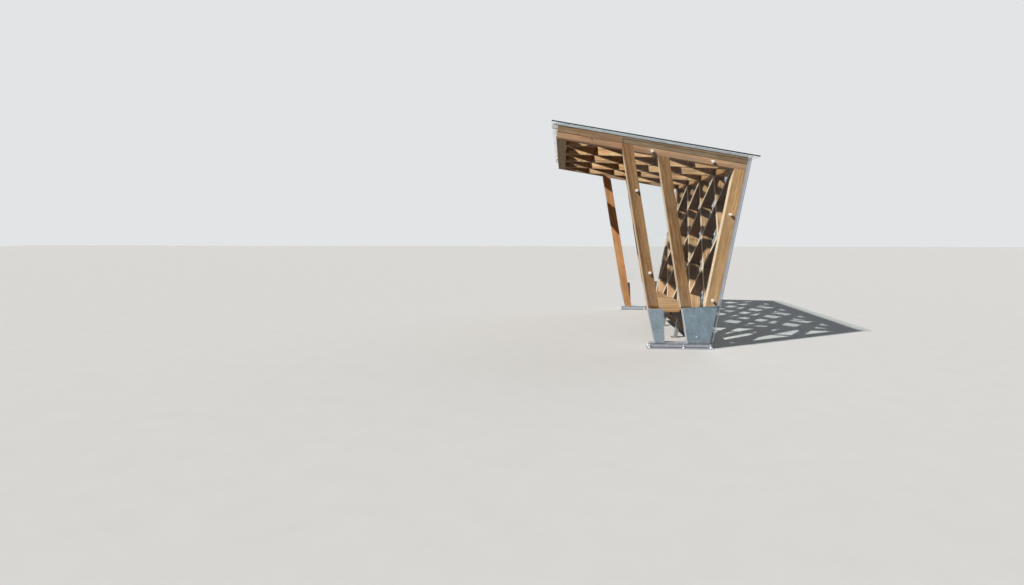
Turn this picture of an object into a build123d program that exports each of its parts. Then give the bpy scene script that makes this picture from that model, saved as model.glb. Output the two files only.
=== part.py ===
"""Timber and glass bus shelter: an open frame with a diamond lattice roof and rear wall.

X runs along the shelter, -Y is the open front, +Z is up. The origin is on the ground,
at the middle of the shelter's outline seen from above. All sizes are in millimetres.
"""

import os
from math import atan, cos, degrees, radians, sin, tan

from build123d import *

# Overall form
length = 5000
roof_slope = 10.2
front_corner_height = 3000
end_frame_thickness = 150

# Roof timbers, measured in the plane of the roof and square to it
front_beam_width = 140
rear_beam_width = 160
roof_beam_height = 84
verge_board_height = 98
joint_groove = 6

# Lattice of planks on edge
lattice_cells = 4
roof_lattice_rows = 5
row_pitch = 476
plank_thickness = 60
wall_lattice_height = 2155

# Posts, as the place of the centre line on the ground and the lean from upright
post_width = 150
post_foot_height = 86
front_post_place = 128
front_post_lean = 10
middle_post_place = 591
middle_post_lean = 9.7
post_head_tenon = 40

# Bottom beam of the rear wall
bottom_beam_clearance = 100

# Galvanised steel feet
steel_thickness = 8
shoe_height = 576
shoe_set_back = 22
shoe_rear_place = 197
shoe_rear_lean = 3.4
plate_height = 590
plate_front_place = 531
plate_front_lean = 9.6
foot_plate_rise = 36
base_front = -60
base_length = 942
base_width = 230
base_flange = 12
base_web = 8
base_box_width = 130
base_top_width = 150
base_end_inset = 46
anchor_hole_radius = 9
anchor_edge = 30
anchor_rows = (-22, 462, 844)

# Glass and what holds it
roof_glass_gap = 32
roof_glass_thickness = 16
roof_glass_front_overhang = 108
roof_glass_rear_overhang = 148
roof_glass_side_overhang = 45
wall_glass_gap = 30
wall_glass_thickness = 12
wall_glass_bottom_clearance = 110
side_glass_gap = 20
side_glass_thickness = 12
glass_joint = 10
pane_count = 4
edge_gap = 6
profile_wall = 4
verge_profile_width = 90
front_profile_drop = 60
front_profile_inset = 14
front_profile_radius = 42
wall_profile_width = 90
pad_size = 60

# Point fixings of the side glass
fixing_radius = 21
fixing_cap = 12
fixing_shank_radius = 8
fixing_hole_clearance = 0.3
lower_fixing_height = 1090
upper_fixing_height = 2254
front_fixing_offset = 27
rear_upper_fixing_height = 1915
rear_lower_fixing_height = 700
beam_fixing_places = (1357, 2212)

# Bench
bench_near_end = 1810
bench_length = 2140
bench_depth = 450
bench_height = 480
slat_width = 97
slat_thickness = 32
slat_gap = 10
bearer_size = 40
bearer_end_inset = 60
front_bearer_inset = 130
bench_wall_gap = 0.3
leg_width = 50
leg_depth = 55
leg_inset = 400
leg_foot_size = 140
leg_foot_thickness = 10
leg_foot_offset = 30
bench_arm_root = 105
bench_arm_tip = 25

# Derived sizes
half_length = length / 2
inner_half = half_length - end_frame_thickness
x_pitch = 2 * inner_half / lattice_cells
roof_depth = roof_beam_height + verge_board_height
roof_lattice_length = roof_lattice_rows * row_pitch
fold = front_beam_width + roof_lattice_length
beam_length = fold + rear_beam_width
slope = radians(roof_slope)
along = Vector(0, cos(slope), -sin(slope))
normal = Vector(0, sin(slope), cos(slope))
plank_run = x_pitch / 2 / row_pitch
plank_angle = degrees(atan(plank_run))

# The glass sheet over the roof is the widest thing front to back, and the outline is centred on it
glass_front = -roof_glass_front_overhang
glass_rear = beam_length + roof_glass_rear_overhang
glass_low = roof_depth + roof_glass_gap
glass_high = glass_low + roof_glass_thickness
front_corner_y = -((glass_front + glass_rear) * cos(slope) + (glass_low + glass_high) * sin(slope)) / 2
front_corner = Vector(0, front_corner_y, front_corner_height)

# roof_plane: x along the shelter, y down the slope to the rear, z square to the roof
# wall_plane: x along the shelter, y down the inner face of the rear wall, z out to the rear
roof_plane = Plane(origin=front_corner, x_dir=(1, 0, 0), z_dir=normal)
wall_plane = Plane(origin=front_corner + along * fold, x_dir=(1, 0, 0), z_dir=along)
roof_lattice_plane = Plane(origin=front_corner + along * front_beam_width, x_dir=(1, 0, 0), z_dir=normal)
joint_plane = roof_plane.offset(roof_beam_height)
foot_plane = Plane.XY.offset(post_foot_height)
post_top = 1.1 * front_corner_height


def wall_u(height, out=0):
    """Distance down the wall plane to a given height above the ground, at a distance out from it."""
    drop = front_corner_height - fold * sin(slope) - out * sin(slope) - height
    return drop / cos(slope)


def wall_y(height, out=0):
    """Y of a point on a plane parallel to the rear wall at a given height above the ground."""
    return front_corner_y + (fold + out) * cos(slope) - wall_u(height, out) * sin(slope)


def lean_y(place, lean, height):
    """Y of a leaning post's centre line at a given height."""
    return place - height * tan(radians(lean))


def front_post_y(height, side):
    """Y of the front post's front (-1) or rear (1) face at a given height."""
    face_offset = post_width / 2 / cos(radians(front_post_lean))
    return lean_y(front_post_place, front_post_lean, height) + side * face_offset


def plank_pattern(panel_height, phase, direction):
    """Parallel planks across a panel, x from the middle and y down from its top edge."""
    half_width = inner_half
    plank_length = panel_height / cos(atan(plank_run)) + 4 * plank_thickness
    with BuildSketch() as pattern:
        for index in range(-2 * lattice_cells - roof_lattice_rows, 2 * lattice_cells + roof_lattice_rows):
            start = (index + phase) * x_pitch
            first = max(0, (-half_width - direction * start) / plank_run)
            last = min(panel_height, (half_width - direction * start) / plank_run)
            if last - first > plank_thickness:
                middle = start + direction * plank_run * panel_height / 2
                with Locations((middle, panel_height / 2)):
                    Rectangle(plank_thickness, plank_length, rotation=-direction * plank_angle)
        with Locations((0, panel_height / 2)):
            Rectangle(2 * half_width, panel_height, mode=Mode.INTERSECT)
    return pattern.sketch


def write(built, name):
    built.part.label = name
    export_step(built.part, f"parts/{name}.step")


os.makedirs("parts", exist_ok=True)

# End frames: three posts, a roof beam, a verge board and steel feet at each end
for side, sign in (("right", 1), ("left", -1)):
    inner_x = sign * inner_half
    outer_x = sign * half_length
    frame_plane = Plane.YZ.offset(inner_x)
    outer_plane = Plane.YZ.offset(outer_x)
    frame_centre = sign * (half_length - end_frame_thickness / 2)
    tenon_x = sign * (half_length - post_head_tenon)

    # Front post, whose head is housed in the outer face of the roof beam and whose foot is cut to its shoe
    low = post_foot_height
    high = shoe_height
    shoe_front_low = front_post_y(low, -1) + shoe_set_back
    shoe_front_high = front_post_y(high, -1)
    with BuildPart() as front_post:
        with BuildSketch(frame_plane):
            with Locations((front_post_place, 0)):
                Rectangle(post_width, 2.2 * front_corner_height, rotation=front_post_lean)
        extrude(amount=sign * end_frame_thickness)
        split(bisect_by=foot_plane, keep=Keep.TOP)
        split(bisect_by=joint_plane, keep=Keep.BOTTOM)
        with BuildSketch(roof_plane):
            with Locations(((inner_x + tenon_x) / 2, beam_length / 2)):
                Rectangle(abs(tenon_x - inner_x), beam_length)
        extrude(amount=roof_beam_height, mode=Mode.SUBTRACT)
        with BuildSketch(frame_plane):
            with BuildLine():
                Polyline(
                    (shoe_front_low, low), (shoe_front_high, high), (shoe_front_low - post_width, low), close=True
                )
            make_face()
        extrude(amount=sign * end_frame_thickness, mode=Mode.SUBTRACT)
    write(front_post, f"{side}_front_post")

    # Middle post, whose foot is cut back behind the front flange of the wide plate
    high = plate_height
    plate_inside = plate_front_place + steel_thickness
    with BuildPart() as middle_post:
        with BuildSketch(frame_plane):
            with Locations((middle_post_place, 0)):
                Rectangle(post_width, 2 * front_corner_height, rotation=middle_post_lean)
        extrude(amount=sign * end_frame_thickness)
        split(bisect_by=foot_plane, keep=Keep.TOP)
        split(bisect_by=roof_plane, keep=Keep.BOTTOM)
        with BuildSketch(frame_plane):
            with BuildLine():
                Polyline(
                    (lean_y(plate_inside, plate_front_lean, low), low),
                    (lean_y(plate_inside, plate_front_lean, high), high),
                    (lean_y(plate_inside, plate_front_lean, high) - post_width, high),
                    (lean_y(plate_inside, plate_front_lean, low) - post_width, low),
                    close=True,
                )
            make_face()
        extrude(amount=sign * end_frame_thickness, mode=Mode.SUBTRACT)
    write(middle_post, f"{side}_middle_post")

    # Rear post, in line with the rear wall's lattice
    with BuildPart() as rear_post:
        with BuildSketch(wall_plane):
            with Locations((frame_centre, front_corner_height / 2)):
                Rectangle(end_frame_thickness, front_corner_height)
        extrude(amount=rear_beam_width)
        split(bisect_by=foot_plane, keep=Keep.TOP)
    write(rear_post, f"{side}_rear_post")

    with BuildPart() as roof_beam:
        with BuildSketch(roof_plane):
            with Locations((frame_centre, beam_length / 2)):
                Rectangle(end_frame_thickness, beam_length)
        extrude(amount=roof_beam_height)
        outer_top = roof_beam.edges().filter_by(Axis(front_corner, along)).group_by(Axis((0, 0, 0), normal))[-1]
        chamfer(outer_top.sort_by(Axis.X)[-1 if sign > 0 else 0], length=joint_groove)
        with BuildSketch(Plane.YZ.offset(tenon_x)):
            with Locations((front_post_place, 0)):
                Rectangle(post_width, 2 * front_corner_height, rotation=front_post_lean)
        extrude(amount=sign * post_head_tenon, mode=Mode.SUBTRACT)
    write(roof_beam, f"{side}_roof_beam")

    with BuildPart() as verge_board:
        with BuildSketch(joint_plane):
            with Locations((frame_centre, beam_length / 2)):
                Rectangle(end_frame_thickness, beam_length)
        extrude(amount=verge_board_height)
        outer_low = verge_board.edges().filter_by(Axis(front_corner, along)).group_by(Axis((0, 0, 0), normal))[0]
        chamfer(outer_low.sort_by(Axis.X)[-1 if sign > 0 else 0], length=joint_groove)
    write(verge_board, f"{side}_verge_board")

    # Shoe of a plate on the outer face of the front post's foot, wider than the post at its top,
    # and a flange down the front
    high = shoe_height
    with BuildPart() as front_shoe:
        with BuildSketch(outer_plane):
            with BuildLine():
                Polyline(
                    (shoe_front_low - steel_thickness, low),
                    (shoe_front_high - steel_thickness, high),
                    (lean_y(shoe_rear_place, shoe_rear_lean, high), high),
                    (lean_y(shoe_rear_place, shoe_rear_lean, low), low),
                    close=True,
                )
            make_face()
        extrude(amount=sign * steel_thickness)
        with BuildSketch(frame_plane):
            with BuildLine():
                Polyline(
                    (shoe_front_low - steel_thickness, low),
                    (shoe_front_high - steel_thickness, high),
                    (shoe_front_high, high),
                    (shoe_front_low, low),
                    close=True,
                )
            make_face()
        extrude(amount=sign * end_frame_thickness)
    write(front_shoe, f"{side}_front_shoe")

    # Wide plate over the feet of the middle and rear posts, with a flange back along each
    high = plate_height
    with BuildPart() as foot_plate:
        with BuildSketch(outer_plane):
            with BuildLine():
                Polyline(
                    (lean_y(plate_front_place, plate_front_lean, low), low),
                    (lean_y(plate_front_place, plate_front_lean, high), high),
                    (wall_y(high + foot_plate_rise, rear_beam_width + steel_thickness), high + foot_plate_rise),
                    (wall_y(low, rear_beam_width + steel_thickness), low),
                    close=True,
                )
            make_face()
        extrude(amount=sign * steel_thickness)
        with BuildSketch(frame_plane):
            with BuildLine():
                Polyline(
                    (lean_y(plate_front_place, plate_front_lean, low), low),
                    (lean_y(plate_front_place, plate_front_lean, high), high),
                    (lean_y(plate_inside, plate_front_lean, high), high),
                    (lean_y(plate_inside, plate_front_lean, low), low),
                    close=True,
                )
            make_face()
            with BuildLine():
                Polyline(
                    (wall_y(high, rear_beam_width), high),
                    (wall_y(high, rear_beam_width + steel_thickness), high),
                    (wall_y(low, rear_beam_width + steel_thickness), low),
                    (wall_y(low, rear_beam_width), low),
                    close=True,
                )
            make_face()
        extrude(amount=sign * end_frame_thickness)
    write(foot_plate, f"{side}_foot_plate")

    # Base rail: a wide bottom flange with anchor holes, two webs and a top flange under the posts
    base_middle = base_front + base_length / 2
    web_pitch = base_box_width - base_web
    with BuildPart() as base_rail:
        with BuildSketch():
            with Locations((frame_centre, base_middle)):
                Rectangle(base_width, base_length)
        extrude(amount=base_flange)
        with BuildSketch(Plane.XY.offset(base_flange)):
            with Locations((frame_centre, base_middle)):
                with GridLocations(web_pitch, base_length, 2, 1):
                    Rectangle(base_web, base_length - 2 * base_end_inset)
        extrude(amount=post_foot_height - 2 * base_flange)
        with BuildSketch(Plane.XY.offset(post_foot_height - base_flange)):
            with Locations((frame_centre, base_middle)):
                Rectangle(base_top_width, base_length - 2 * base_end_inset)
        extrude(amount=base_flange)
        anchor_reach = base_width / 2 - anchor_edge
        for row in anchor_rows:
            with Locations(
                (frame_centre - anchor_reach, row, base_flange), (frame_centre + anchor_reach, row, base_flange)
            ):
                Hole(anchor_hole_radius, depth=base_flange)
    write(base_rail, f"{side}_base_rail")

    # Side glass, from the front post to the rear glass and from the steel feet to the roof glass
    glass_foot = plate_height + foot_plate_rise + edge_gap
    glass_head = Plane(origin=front_corner + normal * (roof_depth - edge_gap), x_dir=(1, 0, 0), z_dir=normal)
    glass_rear_line = wall_plane.offset(rear_beam_width + wall_glass_gap - edge_gap)
    post_middle = rear_beam_width / 2
    fixing_places = [
        (lean_y(front_post_place, front_post_lean, lower_fixing_height) + front_fixing_offset, lower_fixing_height),
        (lean_y(front_post_place, front_post_lean, upper_fixing_height) + front_fixing_offset, upper_fixing_height),
        (wall_y(rear_lower_fixing_height, post_middle), rear_lower_fixing_height),
        (wall_y(rear_upper_fixing_height, post_middle), rear_upper_fixing_height),
    ]
    for place in beam_fixing_places:
        point = front_corner + along * place + normal * roof_beam_height / 2
        fixing_places.append((point.Y, point.Z))
    with BuildPart() as side_glass:
        with BuildSketch(Plane.YZ.offset(outer_x + sign * side_glass_gap)):
            with BuildLine():
                Polyline(
                    (front_post_y(glass_foot, -1), glass_foot),
                    (front_post_y(post_top, -1), post_top),
                    (-front_corner_y, post_top),
                    (-front_corner_y, glass_foot),
                    close=True,
                )
            make_face()
        extrude(amount=sign * side_glass_thickness)
        split(bisect_by=glass_head, keep=Keep.BOTTOM)
        split(bisect_by=glass_rear_line, keep=Keep.BOTTOM)
        with BuildSketch(Plane.YZ.offset(outer_x + sign * side_glass_gap)):
            with Locations(*fixing_places):
                RegularPolygon(fixing_shank_radius + fixing_hole_clearance, side_count=8)
        extrude(amount=sign * side_glass_thickness, mode=Mode.SUBTRACT)
    write(side_glass, f"{side}_side_glass")

    # Each point fixing is a standoff, a shank through the glass and a round cap
    with BuildPart() as glass_fixings:
        with BuildSketch(outer_plane):
            with Locations(*fixing_places):
                RegularPolygon(fixing_radius, side_count=16)
        extrude(amount=sign * side_glass_gap)
        with BuildSketch(outer_plane):
            with Locations(*fixing_places):
                RegularPolygon(fixing_shank_radius, side_count=8)
        extrude(amount=sign * (side_glass_gap + side_glass_thickness + fixing_cap))
        with BuildSketch(Plane.YZ.offset(outer_x + sign * (side_glass_gap + side_glass_thickness))):
            with Locations(*fixing_places):
                RegularPolygon(fixing_radius, side_count=16)
        extrude(amount=sign * fixing_cap)
    write(glass_fixings, f"{side}_glass_fixings")

    # Metal profile between the verge board and the roof glass
    with BuildPart() as verge_profile:
        with BuildSketch(roof_plane.offset(roof_depth)):
            with Locations((outer_x - sign * verge_profile_width / 2, beam_length / 2)):
                Rectangle(verge_profile_width, beam_length)
        extrude(amount=roof_glass_gap)
        with BuildSketch(roof_plane.offset(roof_depth + profile_wall)):
            with Locations((outer_x - sign * (verge_profile_width / 2 + profile_wall), beam_length / 2)):
                Rectangle(verge_profile_width, beam_length)
        extrude(amount=roof_glass_gap - 2 * profile_wall, mode=Mode.SUBTRACT)
    write(verge_profile, f"{side}_verge_profile")

    # The same profile between the rear post and the rear glass, above the steel plate
    profile_foot = wall_u(plate_height + foot_plate_rise + edge_gap, rear_beam_width)
    profile_middle = (profile_foot - roof_depth) / 2
    profile_run = profile_foot + roof_depth
    with BuildPart() as wall_profile:
        with BuildSketch(wall_plane.offset(rear_beam_width)):
            with Locations((outer_x - sign * wall_profile_width / 2, profile_middle)):
                Rectangle(wall_profile_width, profile_run)
        extrude(amount=wall_glass_gap)
        with BuildSketch(wall_plane.offset(rear_beam_width + profile_wall)):
            with Locations((outer_x - sign * (wall_profile_width / 2 + profile_wall), profile_middle)):
                Rectangle(wall_profile_width, profile_run)
        extrude(amount=wall_glass_gap - 2 * profile_wall, mode=Mode.SUBTRACT)
    write(wall_profile, f"{side}_wall_profile")

# Long timbers between the end frames
with BuildPart() as front_beam:
    with BuildSketch(roof_plane):
        with Locations((0, front_beam_width / 2)):
            Rectangle(2 * inner_half, front_beam_width)
    extrude(amount=roof_depth)
write(front_beam, "front_beam")

with BuildPart() as rear_top_beam:
    with BuildSketch(roof_plane):
        with Locations((0, fold + rear_beam_width / 2)):
            Rectangle(2 * inner_half, rear_beam_width)
    extrude(amount=roof_depth)
write(rear_top_beam, "rear_top_beam")

with BuildPart() as bottom_beam:
    with BuildSketch(wall_plane):
        with Locations((0, wall_lattice_height + front_corner_height / 2)):
            Rectangle(2 * inner_half, front_corner_height)
    extrude(amount=rear_beam_width)
    split(bisect_by=Plane.XY.offset(bottom_beam_clearance), keep=Keep.TOP)
write(bottom_beam, "rear_bottom_beam")

# Roof and rear wall lattices: two families of planks on edge, halved into each other where they cross.
# The forward planks keep their inner half at a crossing, the cross planks their outer half.
lattices = (
    ("roof", roof_lattice_plane, roof_lattice_length, roof_depth, 0.5),
    ("wall", wall_plane, wall_lattice_height, rear_beam_width, 0),
)
for name, plane, panel_height, panel_depth, phase in lattices:
    forward_planks = plank_pattern(panel_height, -phase, 1)
    cross_planks = plank_pattern(panel_height, phase, -1)
    with BuildPart() as forward:
        with BuildSketch(plane):
            add(forward_planks)
        extrude(amount=panel_depth)
        with BuildSketch(plane.offset(panel_depth / 2)):
            add(cross_planks)
        extrude(amount=panel_depth / 2, mode=Mode.SUBTRACT)
    write(forward, f"{name}_lattice_forward_planks")
    with BuildPart() as cross:
        with BuildSketch(plane):
            add(cross_planks)
        extrude(amount=panel_depth)
        with BuildSketch(plane):
            add(forward_planks)
        extrude(amount=panel_depth / 2, mode=Mode.SUBTRACT)
    write(cross, f"{name}_lattice_cross_planks")

    # Pads on the crossings carry the glass
    pad_height = roof_glass_gap if name == "roof" else wall_glass_gap
    pad_places = []
    for row in range(1, int(panel_height / row_pitch) + 1):
        shifted = (row + 2 * phase) % 2
        for index in range(-lattice_cells, lattice_cells + 1):
            x = (index + shifted / 2) * x_pitch
            if abs(x) < inner_half - pad_size and row * row_pitch < panel_height - pad_size:
                pad_places.append((x, row * row_pitch))
    with BuildPart() as pads:
        with BuildSketch(plane.offset(panel_depth)):
            with Locations(*pad_places):
                Rectangle(pad_size, pad_size, rotation=45)
        extrude(amount=pad_height)
    write(pads, f"{name}_glass_pads")

# Roof and rear glass in panes side by side
pane_pitch = 2 * (half_length + roof_glass_side_overhang) / pane_count
wall_glass_top = roof_depth + roof_glass_gap - edge_gap
wall_glass_bottom = wall_u(wall_glass_bottom_clearance, rear_beam_width + wall_glass_gap)
for index in range(pane_count):
    pane_x = (index - (pane_count - 1) / 2) * pane_pitch
    with BuildPart() as roof_pane:
        with BuildSketch(roof_plane.offset(glass_low)):
            with Locations((pane_x, (glass_front + glass_rear) / 2)):
                Rectangle(pane_pitch - glass_joint, glass_rear - glass_front)
        extrude(amount=roof_glass_thickness)
    write(roof_pane, f"roof_glass_{index + 1}")

    with BuildPart() as wall_pane:
        with BuildSketch(wall_plane.offset(rear_beam_width + wall_glass_gap)):
            with Locations((pane_x, (wall_glass_bottom - wall_glass_top) / 2)):
                Rectangle(pane_pitch - glass_joint, wall_glass_bottom + wall_glass_top)
        extrude(amount=wall_glass_thickness)
    write(wall_pane, f"rear_glass_{index + 1}")

# Folded metal fascia with a rounded lower edge, in front of the front beam and under the glass.
# Its section is drawn looking along the shelter, and its ends are closed.
fascia_reach = roof_glass_front_overhang - front_profile_inset
fascia_height = front_profile_drop + roof_glass_gap
fascia_section = Plane(
    origin=front_corner + normal * (roof_depth - front_profile_drop) - Vector(half_length, 0, 0),
    x_dir=-along,
    z_dir=(1, 0, 0),
)
fascia_hollow = Plane(origin=fascia_section.origin + Vector(profile_wall, 0, 0), x_dir=-along, z_dir=(1, 0, 0))
with BuildPart() as front_profile:
    with BuildSketch(fascia_section) as fascia_outline:
        with Locations((fascia_reach / 2, -fascia_height / 2)):
            Rectangle(fascia_reach, fascia_height)
        low_front = fascia_outline.vertices().sort_by(Axis.X)[-2:].sort_by(Axis.Y)[-1]
        fillet(low_front, radius=front_profile_radius)
    extrude(amount=length)
    with BuildSketch(fascia_hollow) as hollow_outline:
        with Locations(((fascia_reach - profile_wall) / 2, -(fascia_height + profile_wall) / 2)):
            Rectangle(fascia_reach - profile_wall, fascia_height - profile_wall)
        low_inside = hollow_outline.vertices().sort_by(Axis.X)[-2:].sort_by(Axis.Y)[-1]
        fillet(low_inside, radius=front_profile_radius - profile_wall)
    extrude(amount=length - 2 * profile_wall, mode=Mode.SUBTRACT)
write(front_profile, "front_glass_profile")

# Bench of slats across two bearers, the rear one against the bottom beam of the wall
slat_bottom = bench_height - slat_thickness
bearer_bottom = slat_bottom - bearer_size
bench_rear = wall_y(bearer_bottom - bench_arm_tip) - bench_wall_gap
bench_front = bench_rear - bench_depth
bench_middle_x = bench_near_end - bench_length / 2
slat_pitch = slat_width + slat_gap
slat_count = int((bench_length + slat_gap) / slat_pitch)
with BuildPart() as bench_seat:
    with BuildSketch(Plane.XY.offset(slat_bottom)):
        with Locations((bench_middle_x, (bench_front + bench_rear) / 2)):
            with GridLocations(slat_pitch, bench_depth, slat_count, 1):
                Rectangle(slat_width, bench_depth)
    extrude(amount=slat_thickness)
write(bench_seat, "bench_seat_slats")

front_bearer_y = bench_front + front_bearer_inset
with BuildPart() as bench_bearers:
    with BuildSketch(Plane.XY.offset(bearer_bottom)):
        with Locations((bench_middle_x, front_bearer_y), (bench_middle_x, bench_rear - bearer_size / 2)):
            Rectangle(bench_length - 2 * bearer_end_inset, bearer_size)
    extrude(amount=bearer_size)
write(bench_bearers, "bench_bearers")

# Each leg leans back like the wall and widens at the top into an arm under both bearers
arm_front = front_bearer_y - bearer_size / 2
arm_root = bearer_bottom - bench_arm_root
leg_foot_y = (bench_front + bench_rear) / 2 + leg_foot_offset
leg_root_y = leg_foot_y + (arm_root - leg_foot_thickness) * tan(slope)
with BuildPart() as bench_legs:
    for leg_x in (bench_near_end - leg_inset, bench_near_end - bench_length + leg_inset):
        with BuildSketch(Plane.YZ.offset(leg_x)):
            with BuildLine():
                Polyline(
                    (leg_foot_y - leg_depth / 2, leg_foot_thickness),
                    (leg_root_y - leg_depth / 2, arm_root),
                    (arm_front, bearer_bottom - bench_arm_tip),
                    (arm_front, bearer_bottom),
                    (bench_rear, bearer_bottom),
                    (bench_rear, bearer_bottom - bench_arm_tip),
                    (leg_root_y + leg_depth / 2, arm_root),
                    (leg_foot_y + leg_depth / 2, leg_foot_thickness),
                    close=True,
                )
            make_face()
        extrude(amount=leg_width / 2, both=True)
        with Locations((leg_x, leg_foot_y, leg_foot_thickness / 2)):
            Box(leg_foot_size, leg_foot_size, leg_foot_thickness)
write(bench_legs, "bench_legs")
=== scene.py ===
import math

import bmesh
import bpy
from mathutils import Matrix, Vector


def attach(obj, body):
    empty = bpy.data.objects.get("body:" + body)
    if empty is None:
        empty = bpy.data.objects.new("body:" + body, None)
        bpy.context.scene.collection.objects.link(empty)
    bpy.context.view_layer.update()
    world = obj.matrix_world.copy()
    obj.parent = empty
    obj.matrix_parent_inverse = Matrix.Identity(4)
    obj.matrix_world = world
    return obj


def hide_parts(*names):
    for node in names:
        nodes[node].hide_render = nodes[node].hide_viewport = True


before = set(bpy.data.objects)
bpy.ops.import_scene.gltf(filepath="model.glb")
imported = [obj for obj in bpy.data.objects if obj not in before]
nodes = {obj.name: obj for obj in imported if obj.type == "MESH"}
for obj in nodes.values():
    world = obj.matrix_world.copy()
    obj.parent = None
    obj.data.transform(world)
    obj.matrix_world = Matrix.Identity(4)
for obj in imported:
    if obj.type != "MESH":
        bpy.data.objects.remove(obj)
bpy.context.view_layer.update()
scene = bpy.context.scene

# Directions: along falls with the roof to the rear, normal is square to the roof, sunny points to the sun
ROOF_SLOPE = math.radians(10.2)
UP = Vector((0.0, 0.0, 1.0))
ACROSS = Vector((1.0, 0.0, 0.0))
REARWARD = Vector((0.0, 1.0, 0.0))
ALONG = Vector((0.0, math.cos(ROOF_SLOPE), -math.sin(ROOF_SLOPE)))
NORMAL = Vector((0.0, math.sin(ROOF_SLOPE), math.cos(ROOF_SLOPE)))
SUNNY = Vector((0.484, -0.590, 0.645))

# Sizes of the shelter that the finishes and small parts follow, in metres and degrees
FRONT_CORNER = Vector((0.0, -1.37782, 3.0))
FRONT_BEAM_WIDTH = 0.140
FOLD_REACH = 2.520
OUTER_X = 2.500
X_PITCH = 1.175
ROW_PITCH = 0.476
PLANK_ANGLE = math.atan(X_PITCH / 2 / ROW_PITCH)
PLANK_PITCH = X_PITCH * math.cos(PLANK_ANGLE)
FRONT_POST_FOOT_Y = 0.128
FRONT_POST_LEAN = 10.0
MIDDLE_POST_LEAN = 9.7
REAR_POST_MIDDLE = 0.080
ROOF_BEAM_MIDDLE = 0.042
VERGE_BOARD_FOOT = 0.086
PLATE_THICKNESS = 0.008
FLANGE_TOP = 0.012
RAIL_CORNER = 0.027
SLAT_PITCH = 0.107
SLAT_START = 0.7935
PANE_COUNT = 4
ENDS = {"right": 1.0, "left": -1.0}

# Camera at eye height, beyond the right end. EYE is in metres, SENSOR in millimetres, the rest in pixels
EYE = (12.446, -1.271, 1.70)
PICTURE_WIDTH = 1024.0
PICTURE_HEIGHT = 585.0
FOCAL_LENGTH = 690.0
HORIZON = 230.0
VANISHING_COLUMN = 563.3
SENSOR = 36.0
camera_data = bpy.data.cameras.new("camera")
camera_data.sensor_width = SENSOR
camera_data.lens = FOCAL_LENGTH / PICTURE_WIDTH * SENSOR
camera = bpy.data.objects.new("camera", camera_data)
scene.collection.objects.link(camera)
below_horizon = PICTURE_HEIGHT / 2 - HORIZON
pitch = math.atan(below_horizon / FOCAL_LENGTH)
yaw = math.atan((VANISHING_COLUMN - PICTURE_WIDTH / 2) / math.hypot(FOCAL_LENGTH, below_horizon))
ahead = Vector((-math.cos(yaw), -math.sin(yaw), 0.0))
side = Vector((-math.sin(yaw), math.cos(yaw), 0.0))
forward = ahead * math.cos(pitch) - UP * math.sin(pitch)
above = ahead * math.sin(pitch) + UP * math.cos(pitch)
turn = Matrix((side, above, -forward)).transposed().to_4x4()
camera.matrix_world = Matrix.Translation(EYE) @ turn
scene.camera = camera


# Node building helpers
NODES_IN_COLUMN = 12
NODE_WIDTH = 260
NODE_HEIGHT = 180
FLAT_AGREEMENT = 0.97
EDGE_AGREEMENT = 0.78


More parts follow.
